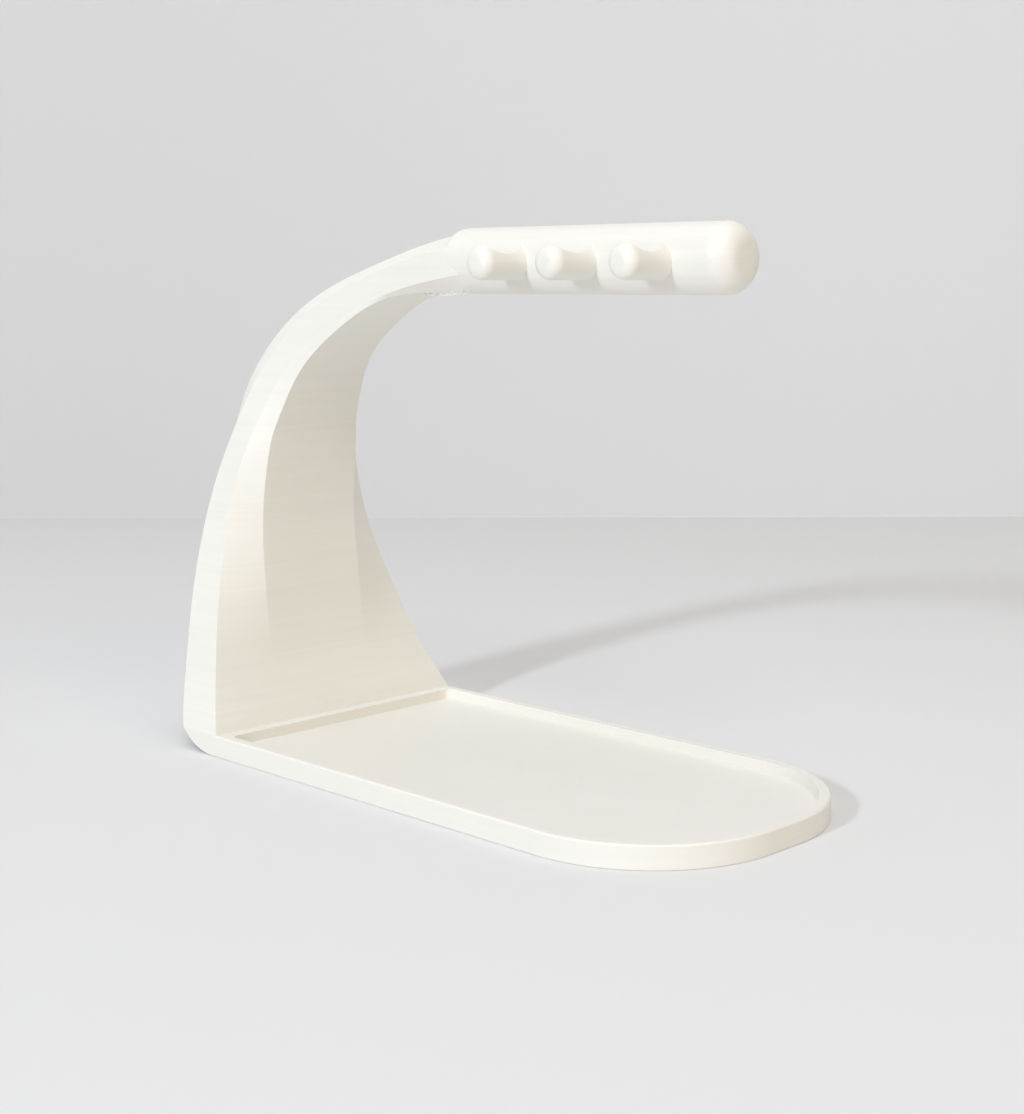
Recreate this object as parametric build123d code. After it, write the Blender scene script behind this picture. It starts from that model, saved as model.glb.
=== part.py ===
from build123d import *
from collections import namedtuple
import math
import os

# A free-standing key holder printed in one piece: a shallow tray with a rounded
# front, a broad neck that narrows as it rises, and a round arm with three pegs on
# each side. X runs from the neck towards the rounded front, Y across, Z up. While it
# is built, X = 0 is where the front of the neck stands on the tray. All in mm.

# Tray
TRAY_WIDTH = 90.0
TRAY_REACH = 165.0          # from the foot of the neck to the rounded front
TRAY_HEIGHT = 6.0
FRONT_CORNER_RADIUS = 39.0
HEEL_REACH = 13.7           # how far the underside curves up behind the resting face
RIM_WIDTH = 2.9
RIM_BEVEL = 0.4
RECESS_DEPTH = 3.0
RECESS_CORNER_RADIUS = 2.0  # of the two corners at the foot of the neck
LEDGE_DEPTH = 3.7           # from the foot of the neck to the recess

# Arm
ARM_RADIUS = 8.65
ARM_AXIS_HEIGHT = 138.4
ARM_START = 53.0
ARM_LENGTH = 97.2
ARM_EDGE_RADIUS = 5.7

# Pegs
PEGS_PER_SIDE = 3
PEG_RADIUS = 4.4
PEG_REACH = 22.8            # from the middle of the arm to the end of the peg
PEG_EDGE_RADIUS = 2.8
PEG_SPACING = 23.7
PEG_END_MARGIN = 19.6       # from the last peg to the end of the arm
PEG_DROP = 0.7              # how far the pegs lie below the arm's own axis
SADDLE_RADIUS = 10.4
SADDLE_DEPTH = 2.3
SADDLE_REACH = 14.9         # from the middle of the arm to the lowest point of the saddle

# Neck
FOOT_DEPTH = 15.7
NECK_OVERLAP = 10.0         # how far the neck runs on inside the arm
NECK_END_INSET = 0.45       # how far its round end stays below the arm's surface

# The neck is lofted through eight-sided sections. They are given by shares, so that
# the neck follows the tray below it and the arm above it:
#   along, up       the middle of the section, in shares of the way to the arm
#   lean            how far the section is tipped from level, in degrees
#   depth           from front to back, against the foot below and the arm above
#   flare           half the width: 1 is the tray's width, 0 is the arm's
#   front_face, back_face      the widths of these faces, against the whole width
#   front_slant, back_slant    how much of the depth the slanting faces take up
Station = namedtuple(
    "Station", "along up lean depth flare front_face back_face front_slant back_slant"
)

NECK_STATIONS = [
    Station(0.000, 0.000, 0.0, 1.000, 1.000, 0.42, 0.42, 0.00, 0.00),
    Station(-0.045, 0.041, 0.0, 1.025, 0.941, 0.44, 0.44, 0.02, 0.01),
    Station(-0.093, 0.091, 0.0, 0.991, 0.868, 0.46, 0.46, 0.03, 0.01),
    Station(-0.165, 0.213, 0.0, 1.022, 0.730, 0.51, 0.51, 0.12, 0.06),
    Station(-0.209, 0.335, 0.0, 1.127, 0.590, 0.59, 0.58, 0.24, 0.10),
    Station(-0.223, 0.444, 0.0, 1.143, 0.475, 0.67, 0.66, 0.29, 0.14),
    Station(-0.204, 0.539, 0.0, 1.153, 0.384, 0.75, 0.75, 0.31, 0.18),
    Station(-0.152, 0.645, 14.2, 1.046, 0.277, 0.84, 0.83, 0.30, 0.23),
    Station(-0.054, 0.748, 28.5, 1.004, 0.175, 0.91, 0.87, 0.28, 0.25),
    Station(0.129, 0.846, 48.3, 0.862, 0.092, 0.96, 0.83, 0.25, 0.26),
    Station(0.371, 0.914, 61.2, 0.725, 0.043, 0.98, 0.76, 0.16, 0.25),
    Station(0.624, 0.959, 68.8, 0.609, 0.014, 0.92, 0.73, 0.08, 0.25),
    Station(0.841, 0.981, 72.6, 0.716, 0.007, 0.65, 0.60, 0.17, 0.26),
    Station(1.016, 0.992, 72.7, 0.873, 0.004, 0.48, 0.30, 0.25, 0.25),
]


def section_points(station):
    """The eight corners of a neck section, in order around it from the far front."""
    reach = ARM_START + FOOT_DEPTH / 2
    height = ARM_AXIS_HEIGHT - TRAY_HEIGHT
    middle = Vector(
        station.along * reach - FOOT_DEPTH / 2, 0, TRAY_HEIGHT + station.up * height
    )
    lean = math.radians(station.lean)
    backwards = Vector(-math.cos(lean), 0, math.sin(lean))
    depth = station.depth * (FOOT_DEPTH + station.up * (2 * ARM_RADIUS - FOOT_DEPTH))
    half_width = ARM_RADIUS + station.flare * (TRAY_WIDTH / 2 - ARM_RADIUS)
    halves_from_the_front = [
        (-0.5, half_width * station.front_face),
        (-0.5 + station.front_slant, half_width),
        (0.5 - station.back_slant, half_width),
        (0.5, half_width * station.back_face),
    ]
    far_side = [
        middle + backwards * depth * share + Vector(0, half, 0)
        for share, half in halves_from_the_front
    ]
    near_side = [Vector(point.X, -point.Y, point.Z) for point in reversed(far_side)]
    return far_side + near_side


def make_round_section():
    """The round end of the neck inside the arm, as eight arcs, one for each face."""
    angles_from_below = [30, 65, 115, 150, 210, 245, 295, 330]
    radius = ARM_RADIUS - NECK_END_INSET
    middle = Vector(ARM_START + NECK_OVERLAP, 0, ARM_AXIS_HEIGHT)
    corners = [
        middle + Vector(0, radius, 0).rotate(Axis.X, angle - 90)
        for angle in angles_from_below
    ]
    arcs = []
    for start, end in zip(corners, corners[1:] + corners[:1]):
        halfway = middle + ((start + end) / 2 - middle).normalized() * radius
        arcs.append(Edge.make_three_point_arc(start, halfway, end))
    return Wire(arcs)


def make_neck():
    """The neck: a loft from the broad rectangle of the foot to the round arm."""
    outlines = [Polyline(section_points(station), close=True) for station in NECK_STATIONS]
    sections = [Wire(outline.edges()) for outline in outlines]
    return Solid.make_loft(sections + [make_round_section()])


def make_tray_outline(inset, start):
    """The tray's outline seen from above, moved in by inset, from x = start forward."""
    front = TRAY_REACH - inset
    half_width = TRAY_WIDTH / 2 - inset
    outline = Rectangle(front - start, 2 * half_width, align=(Align.MIN, Align.CENTER))
    outline = Pos(start, 0) * outline
    corners = outline.vertices().group_by(Axis.X)[-1]
    return fillet(corners, FRONT_CORNER_RADIUS - inset)


def make_recess():
    """What is cut out of the tray, a rim's width inside its outline."""
    outline = make_tray_outline(RIM_WIDTH, LEDGE_DEPTH)
    corners = outline.vertices().group_by(Axis.X)[0]
    recess = extrude(fillet(corners, RECESS_CORNER_RADIUS), RECESS_DEPTH)
    return Pos(0, 0, TRAY_HEIGHT - RECESS_DEPTH) * recess


def make_heel_cut():
    """What is cut away below the heel, where the underside curves up to the back."""
    radius = (HEEL_REACH**2 + TRAY_HEIGHT**2) / (2 * TRAY_HEIGHT)
    start_x = HEEL_REACH - FOOT_DEPTH
    end = (-FOOT_DEPTH, TRAY_HEIGHT)
    half_turn = math.asin(HEEL_REACH / radius) / 2
    halfway = (
        start_x - radius * math.sin(half_turn),
        radius - radius * math.cos(half_turn),
    )
    curve = ThreePointArc((start_x, 0), halfway, end)
    corner = Polyline((start_x, 0), (-FOOT_DEPTH, 0), end)
    return extrude(Plane.XZ * make_face(curve + corner), TRAY_WIDTH, both=True)


def make_tray():
    """The plain tray, before the recess is cut into it."""
    return extrude(make_tray_outline(0, -FOOT_DEPTH), TRAY_HEIGHT) - make_heel_cut()


def bevel_rim(holder):
    """Bevel the outer edge of the tray's top in front of the neck."""
    level_edges = holder.edges().filter_by_position(Axis.Z, TRAY_HEIGHT, TRAY_HEIGHT)
    rim_edges = [edge for edge in level_edges if edge.center().X > RIM_WIDTH]
    return chamfer(rim_edges, RIM_BEVEL)


def make_arm():
    """The round arm, with both of its ends rounded over."""
    arm = Cylinder(ARM_RADIUS, ARM_LENGTH, rotation=(0, 90, 0))
    arm = Pos(ARM_START + ARM_LENGTH / 2, 0, ARM_AXIS_HEIGHT) * arm
    return fillet(arm.edges().filter_by(GeomType.CIRCLE), ARM_EDGE_RADIUS)


def make_peg_pair():
    """Two pegs, one on each side of the arm, with a saddle in the top of each."""
    pair = Cylinder(PEG_RADIUS, 2 * PEG_REACH, rotation=(90, 0, 0))
    pair = fillet(pair.edges().filter_by(GeomType.CIRCLE), PEG_EDGE_RADIUS)
    saddle = Cylinder(SADDLE_RADIUS, 4 * PEG_RADIUS, rotation=(0, 90, 0))
    saddle_height = PEG_RADIUS - SADDLE_DEPTH + SADDLE_RADIUS
    for side in (-1, 1):
        pair -= Pos(0, side * SADDLE_REACH, saddle_height) * saddle
    return pair


def make_key_holder():
    """The whole holder as one solid, with the middle of its underside at the origin."""
    holder = bevel_rim(make_tray() + make_neck()) - make_recess() + make_arm()
    peg_pair = make_peg_pair()
    last_peg = ARM_START + ARM_LENGTH - PEG_END_MARGIN
    for number in range(PEGS_PER_SIDE):
        place = Pos(last_peg - number * PEG_SPACING, 0, ARM_AXIS_HEIGHT - PEG_DROP)
        holder += place * peg_pair
    box = holder.bounding_box()
    return Pos(-box.center().X, -box.center().Y, -box.min.Z) * holder


os.makedirs("parts", exist_ok=True)
key_holder = make_key_holder()
export_step(key_holder, "parts/key_holder.step")
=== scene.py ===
import math

import bpy
from mathutils import Matrix, Vector


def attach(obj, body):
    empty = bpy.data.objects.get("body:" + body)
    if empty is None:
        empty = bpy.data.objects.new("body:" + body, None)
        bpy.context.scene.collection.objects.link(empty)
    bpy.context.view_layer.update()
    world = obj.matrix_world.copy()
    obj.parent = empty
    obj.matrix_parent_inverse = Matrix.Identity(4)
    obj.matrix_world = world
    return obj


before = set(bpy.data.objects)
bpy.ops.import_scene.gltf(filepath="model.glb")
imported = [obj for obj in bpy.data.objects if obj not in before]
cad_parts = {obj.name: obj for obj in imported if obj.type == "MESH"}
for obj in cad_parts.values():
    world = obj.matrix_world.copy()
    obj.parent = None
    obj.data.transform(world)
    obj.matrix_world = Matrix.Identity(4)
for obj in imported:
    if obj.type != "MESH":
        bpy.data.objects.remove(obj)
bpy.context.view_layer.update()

# The key holder stands on a pale floor in front of a pale grey backdrop. All lengths
# are in metres, in the frame of the CAD model: X towards the rounded front of the
# tray, Y across, Z up.

# Camera
CAMERA_PLACE = Vector((0.341704, -0.337300, 0.133705))
CAMERA_AZIMUTH = math.radians(44.823)
CAMERA_DIP = math.radians(8.788)
CAMERA_ROLL = math.radians(-0.101)
FOCAL_LENGTH_MM = 38.78
SENSOR_HEIGHT_MM = 24.0
NEAREST_SEEN = 0.01
FARTHEST_SEEN = 20.0

# Lamps: name, place, width, power in watts and colour of each softbox
LAMP_TARGET = Vector((0, 0, 0.05))
LAMPS = [
    ("key", (0.22, -2.76, 1.17), 0.25, 40.2, (0.92, 1.0, 1.11)),
    ("top", (0.3, -0.1, 2.6), 2.0, 20.5, (0.985, 1.0, 1.045)),
    ("front", (1.5, -1.5, 2.2), 1.2, 23.2, (0.985, 1.0, 1.045)),
    ("side", (2.3, -0.5, 0.9), 1.6, 10.0, (1.18, 0.98, 0.68)),
]
WORLD_COLOUR = (1.20, 0.98, 0.78)
WORLD_STRENGTH = 0.15

# Floor and backdrop
FLOOR_LEVEL = -0.0001
FLOOR_REACH = 1.6
BACKDROP_DISTANCE = 0.533
BACKDROP_HEIGHT = 2.0
BEND_RADIUS = 0.0008
BEND_STEPS = 8
STAGE_WIDTH = 5.0
PAPER_ROUGHNESS = 0.9
PAPER_SHINE = 0.2
# Painted light: the floor is painted paler in front and darker towards the backdrop, where less
# light reaches it
FLOOR_FADE_REACH = 0.3      # how far in front of the origin the floor is at its palest
FLOOR_PAINTED_LIGHT_COLOURS = [(0.776, 0.786, 0.789), (0.694, 0.698, 0.692)]          # front, back
# Painted light: the backdrop is painted paler towards the right and darker towards the left, where
# less light falls on it
BACKDROP_FADE_REACH = 0.3   # how far to either side the backdrop's colour changes
BACKDROP_PAINTED_LIGHT_COLOURS = [(0.644, 0.646, 0.650), (0.707, 0.720, 0.728)]       # left, right

# Printed plastic
PLASTIC_COLOUR = (0.847, 0.835, 0.774)
PLASTIC_SHADES = (0.945, 1.045)         # its darkest and palest, against its colour
PLASTIC_ROUGHNESS = 0.42
ROUGHNESS_CHANGE = 0.06
GLOW_SHARE = 0.15                       # how much of the light spreads inside it
GLOW_DEPTH = 0.0015                     # how far that light gets
GLOW_DEPTH_BY_COLOUR = (1.0, 0.8, 0.6)

# Its surface: layers and uneven bands on the sides, tracks on level faces, soft waves
LAYER_HEIGHT = 0.0002
BAND_HEIGHT = 5 * LAYER_HEIGHT
BAND_DETAIL = 3.0
BAND_SQUEEZE = 0.02                     # makes the bands run on along the layers
BAND_SHARE = 0.55                       # of the relief of the sides
BAND_TINT_SHARE = 0.65
TRACK_WIDTH = 0.00042
TRACK_ANGLE = math.radians(45)
LEVEL_NORMAL = 0.995                    # level faces have a normal more upright than this
WAVE_SIZE = 0.004
WAVE_SHARE = 0.35
CLOUD_SIZE = 0.03
RELIEF_STRENGTH = 0.35
RELIEF_DEPTH = 0.00004

# Loose threads under the joint of neck and arm: where each starts and ends along X,
# where it lies across, and how far it sags
THREAD_RADIUS = 0.00018
THREAD_STEPS = 10
THREAD_SWAY = 0.0002
THREAD_SWAY_TURN = 5        # radians of its sway from start to end
THREADS = [
    (-0.0235, -0.0190, -0.0040, 0.0006),
    (-0.0210, -0.0168, -0.0044, 0.0007),
    (-0.0187, -0.0145, -0.0040, 0.0008),
    (-0.0165, -0.0118, -0.0045, 0.0009),
    (-0.0140, -0.0100, -0.0041, 0.0008),
    (-0.0118, -0.0070, -0.0044, 0.0007),
    (-0.0090, -0.0050, -0.0040, 0.0006),
]

# Small flat blobs of plastic on the tray's floor, by X and Y
BLOB_RADIUS = 0.0006
BLOB_HEIGHT = 0.00015
BLOB_RINGS = 4
BLOB_SIDES = 16
BLOBS = [(0.0013, 0.0188), (0.0071, 0.0016), (0.0301, 0.0020)]

# A height in the open, between tray and arm
OPEN_HEIGHT = 0.110


def look_direction(azimuth, dip):
    """The unit vector along which a camera looks, azimuth 0 being along +Y."""
    level = math.cos(dip)
    return Vector((-math.sin(azimuth) * level, math.cos(azimuth) * level, -math.sin(dip)))


def add_object(name, data):
    """A new object in the scene."""
    new_object = bpy.data.objects.new(name, data)
    bpy.context.scene.collection.objects.link(new_object)
    return new_object


def make_camera():
    """The camera of the photograph, with no shift and no depth of field."""
    data = bpy.data.cameras.new("camera")
    data.sensor_fit = "VERTICAL"
    data.sensor_height = SENSOR_HEIGHT_MM
    data.lens = FOCAL_LENGTH_MM
    data.clip_start = NEAREST_SEEN
    data.clip_end = FARTHEST_SEEN
    camera = add_object("camera", data)
    direction = look_direction(CAMERA_AZIMUTH, CAMERA_DIP)
    view = direction.to_track_quat("-Z", "Y").to_matrix()
    camera.matrix_world = (view @ Matrix.Rotation(CAMERA_ROLL, 3, "Z")).to_4x4()
    camera.location = CAMERA_PLACE
    bpy.context.scene.camera = camera


def make_lamp(name, place, width, power, colour):
    """A square softbox, turned towards the holder."""
    data = bpy.data.lights.new(name, "AREA")
    data.shape = "SQUARE"
    data.size = width
    data.energy = power
    data.color = colour
    lamp = add_object(name, data)
    lamp.location = place
    lamp.rotation_euler = (LAMP_TARGET - Vector(place)).to_track_quat("-Z", "Y").to_euler()


def make_world():
    """Plain light from all sides."""
    world = bpy.data.worlds.new("studio")
    world.use_nodes = True
    background = world.node_tree.nodes["Background"]
    background.inputs["Color"].default_value = (*WORLD_COLOUR, 1)
    background.inputs["Strength"].default_value = WORLD_STRENGTH
    bpy.context.scene.world = world


def new_material(name):
    """A new material, its node tree and its shader."""
    material = bpy.data.materials.new(name)
    material.use_nodes = True
    return material, material.node_tree, material.node_tree.nodes["Principled BSDF"]


def add_node(tree, kind, inputs=None, **settings):
    """A shader node, its inputs set to values or linked to other nodes' outputs."""
    node = tree.nodes.new("ShaderNode" + kind)
    for name, value in settings.items():
        setattr(node, name, value)
    for key, value in (inputs or {}).items():
        if isinstance(value, bpy.types.NodeSocket):
            tree.links.new(value, node.inputs[key])
        else:
            node.inputs[key].default_value = value
    return node


def make_stripes(tree, vector, direction, pitch):
    """Even stripes at right angles to a direction, pitch apart."""
    # At a scale of 1, the stripes of this texture are tau / 20 apart
    scale = math.tau / 20 / pitch
    wave = add_node(tree, "TexWave", {"Vector": vector, "Scale": scale}, bands_direction=direction)
    return wave.outputs["Fac"]


def make_noise(tree, vector, size, detail=2.0):
    """Soft noise with spots of about the size given."""
    inputs = {"Vector": vector, "Scale": 1 / size, "Detail": detail}
    return add_node(tree, "TexNoise", inputs).outputs["Fac"]


def mix(tree, share, first, second):
    """Between two numbers or outputs, by a share."""
    inputs = {"Factor": share, 2: first, 3: second}
    return add_node(tree, "Mix", inputs, data_type="FLOAT").outputs[0]


def mix_colours(tree, share, colours):
    """Between two colours, by a share."""
    ramp = add_node(tree, "ValToRGB", {"Fac": share})
    for stop, colour in zip(ramp.color_ramp.elements, colours):
        stop.color = (*colour, 1)
    return ramp.outputs["Color"]


def make_paper(name, direction, start, end, colours):
    """Matt studio paper whose colour changes softly from start to end of a direction, as painted
    light and shade.
    """
    material, tree, shader = new_material(name)
    shader.inputs["Roughness"].default_value = PAPER_ROUGHNESS
    shader.inputs["Specular IOR Level"].default_value = PAPER_SHINE
    place = add_node(tree, "TexCoord").outputs["Object"]
    distance = add_node(tree, "VectorMath", {0: place, 1: direction}, operation="DOT_PRODUCT")
    share = add_node(tree, "MapRange", {
        "Value": distance.outputs["Value"],
        "From Min": start,
        "From Max": end,
    }, interpolation_type="SMOOTHSTEP")
    colour = mix_colours(tree, share.outputs["Result"], colours)
    tree.links.new(colour, shader.inputs["Base Color"])
    return material


def make_stage_profile():
    """The stage from the side: distances from the origin, and heights above the floor."""
    bend_start = BACKDROP_DISTANCE - BEND_RADIUS
    profile = [(-FLOOR_REACH, 0.0), (bend_start, 0.0)]
    for step in range(1, BEND_STEPS + 1):
        angle = math.pi / 2 * step / BEND_STEPS
        distance = bend_start + BEND_RADIUS * math.sin(angle)
        profile.append((distance, BEND_RADIUS * (1 - math.cos(angle))))
    profile.append((BACKDROP_DISTANCE, BACKDROP_HEIGHT))
    return profile


def make_stage():
    """One sheet that is the floor, and bends up into the backdrop behind the holder."""
    away = look_direction(CAMERA_AZIMUTH, 0)
    across = Vector((away.y, -away.x, 0))
    profile = make_stage_profile()
    points = []
    for distance, height in profile:
        for side in (-0.5, 0.5):
            point = away * distance + across * (side * STAGE_WIDTH)
            points.append((point.x, point.y, FLOOR_LEVEL + height))
    faces = [(2 * i, 2 * i + 1, 2 * i + 3, 2 * i + 2) for i in range(len(profile) - 1)]
    mesh = bpy.data.meshes.new("stage_sheet")
    mesh.from_pydata(points, [], faces)
    mesh.materials.append(make_paper(
        "floor_paper", away, -FLOOR_FADE_REACH, BACKDROP_DISTANCE, FLOOR_PAINTED_LIGHT_COLOURS
    ))
    mesh.materials.append(make_paper(
        "backdrop_paper", across, -BACKDROP_FADE_REACH, BACKDROP_FADE_REACH, BACKDROP_PAINTED_LIGHT_COLOURS
    ))
    for face in mesh.polygons:
        face.use_smooth = True
        # The first face is the floor
        face.material_index = 0 if face.index == 0 else 1
    add_object("stage_sheet", mesh)


def make_plastic():
    """Warm white printed plastic: level layers on the sides, tracks on level faces."""
    material, tree, shader = new_material("printed_plastic")
    shader.inputs["Subsurface Weight"].default_value = GLOW_SHARE
    shader.inputs["Subsurface Radius"].default_value = GLOW_DEPTH_BY_COLOUR
    shader.inputs["Subsurface Scale"].default_value = GLOW_DEPTH
    place = add_node(tree, "TexCoord").outputs["Object"]

    # The sides
    squeeze = (BAND_SQUEEZE, BAND_SQUEEZE, 1.0)
    squeezed = add_node(tree, "Mapping", {"Vector": place, "Scale": squeeze})
    bands = make_noise(tree, squeezed.outputs["Vector"], BAND_HEIGHT, BAND_DETAIL)
    layers = make_stripes(tree, place, "Z", LAYER_HEIGHT)
    sides = mix(tree, BAND_SHARE, layers, bands)

    # The level faces
    turned = add_node(tree, "Mapping", {"Vector": place, "Rotation": (0, 0, TRACK_ANGLE)})
    tracks = make_stripes(tree, turned.outputs["Vector"], "X", TRACK_WIDTH)
    normal = add_node(tree, "NewGeometry").outputs["True Normal"]
    up = add_node(tree, "SeparateXYZ", {"Vector": normal}).outputs["Z"]
    upright = add_node(tree, "Math", {0: up}, operation="ABSOLUTE").outputs[0]
    level = add_node(tree, "Math", {0: upright, 1: LEVEL_NORMAL}, operation="GREATER_THAN")

    # Relief, colour and gloss
    waves = make_noise(tree, place, WAVE_SIZE)
    relief = mix(tree, WAVE_SHARE, mix(tree, level.outputs[0], sides, tracks), waves)
    bump = add_node(tree, "Bump", {
        "Strength": RELIEF_STRENGTH,
        "Distance": RELIEF_DEPTH,
        "Height": relief,
    })
    tree.links.new(bump.outputs["Normal"], shader.inputs["Normal"])
    tint = mix(tree, BAND_TINT_SHARE, make_noise(tree, place, CLOUD_SIZE), bands)
    shades = [[channel * shade for channel in PLASTIC_COLOUR] for shade in PLASTIC_SHADES]
    tree.links.new(mix_colours(tree, tint, shades), shader.inputs["Base Color"])
    roughness = add_node(tree, "MapRange", {
        "Value": waves,
        "To Min": PLASTIC_ROUGHNESS - ROUGHNESS_CHANGE,
        "To Max": PLASTIC_ROUGHNESS + ROUGHNESS_CHANGE,
    })
    tree.links.new(roughness.outputs["Result"], shader.inputs["Roughness"])
    return material


def dress_holder(plastic):
    """Gives the CAD model its plastic."""
    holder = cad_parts["key_holder"]
    holder.data.materials.clear()
    holder.data.materials.append(plastic)


def add_piece(name, data, material):
    """A small piece of the holder, which rides with it."""
    data.materials.append(material)
    piece = add_object(name, data)
    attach(piece, "root")


def surface_height(x, y, up_or_down):
    """The height at which a line up (1) or down (-1) from the open meets the holder."""
    start = Vector((x, y, OPEN_HEIGHT))
    hit, place, _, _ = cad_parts["key_holder"].ray_cast(start, Vector((0, 0, up_or_down)))
    if not hit:
        raise ValueError(f"The line at x = {x}, y = {y} doesn't meet the holder")
    return place.z


def make_threads(plastic):
    """Loose threads that start and end in the underside of the joint, and sag between."""
    for number, (start, end, across, sag) in enumerate(THREADS):
        data = bpy.data.curves.new(f"thread_{number + 1}", "CURVE")
        data.dimensions = "3D"
        data.bevel_depth = THREAD_RADIUS
        data.bevel_resolution = 2
        data.use_fill_caps = True
        spline = data.splines.new("POLY")
        spline.points.add(THREAD_STEPS)
        for step in range(THREAD_STEPS + 1):
            share = step / THREAD_STEPS
            x = start + share * (end - start)
            y = across + THREAD_SWAY * math.sin(THREAD_SWAY_TURN * share + number)
            drop = (sag + THREAD_RADIUS) * math.sin(math.pi * share)
            z = surface_height(x, y, 1) + THREAD_RADIUS - drop
            spline.points[step].co = (x, y, z, 1)
        add_piece(f"thread_{number + 1}", data, plastic)


def make_dome(name, x, y, bottom):
    """A flat dome, closed at its bottom."""
    points = [(x, y, bottom + BLOB_HEIGHT)]
    for ring in range(1, BLOB_RINGS + 1):
        tilt = math.pi / 2 * ring / BLOB_RINGS
        for side in range(BLOB_SIDES):
            turn = math.tau * side / BLOB_SIDES
            points.append((
                x + BLOB_RADIUS * math.sin(tilt) * math.cos(turn),
                y + BLOB_RADIUS * math.sin(tilt) * math.sin(turn),
                bottom + BLOB_HEIGHT * math.cos(tilt),
            ))
    faces = []
    for side in range(BLOB_SIDES):
        after = (side + 1) % BLOB_SIDES
        faces.append((0, 1 + side, 1 + after))
        for ring in range(BLOB_RINGS - 1):
            inner = 1 + ring * BLOB_SIDES
            outer = inner + BLOB_SIDES
            faces.append((inner + side, outer + side, outer + after, inner + after))
    last_ring = 1 + (BLOB_RINGS - 1) * BLOB_SIDES
    faces.append(tuple(last_ring + side for side in reversed(range(BLOB_SIDES))))
    mesh = bpy.data.meshes.new(name)
    mesh.from_pydata(points, [], faces)
    return mesh


def make_blobs(plastic):
    """Small flat blobs on the floor of the tray."""
    for number, (x, y) in enumerate(BLOBS):
        name = f"blob_{number + 1}"
        add_piece(name, make_dome(name, x, y, surface_height(x, y, -1)), plastic)


bpy.context.scene.view_settings.view_transform = "Standard"
make_camera()
make_world()
for lamp_values in LAMPS:
    make_lamp(*lamp_values)
make_stage()
plastic = make_plastic()
dress_holder(plastic)
make_threads(plastic)
make_blobs(plastic)
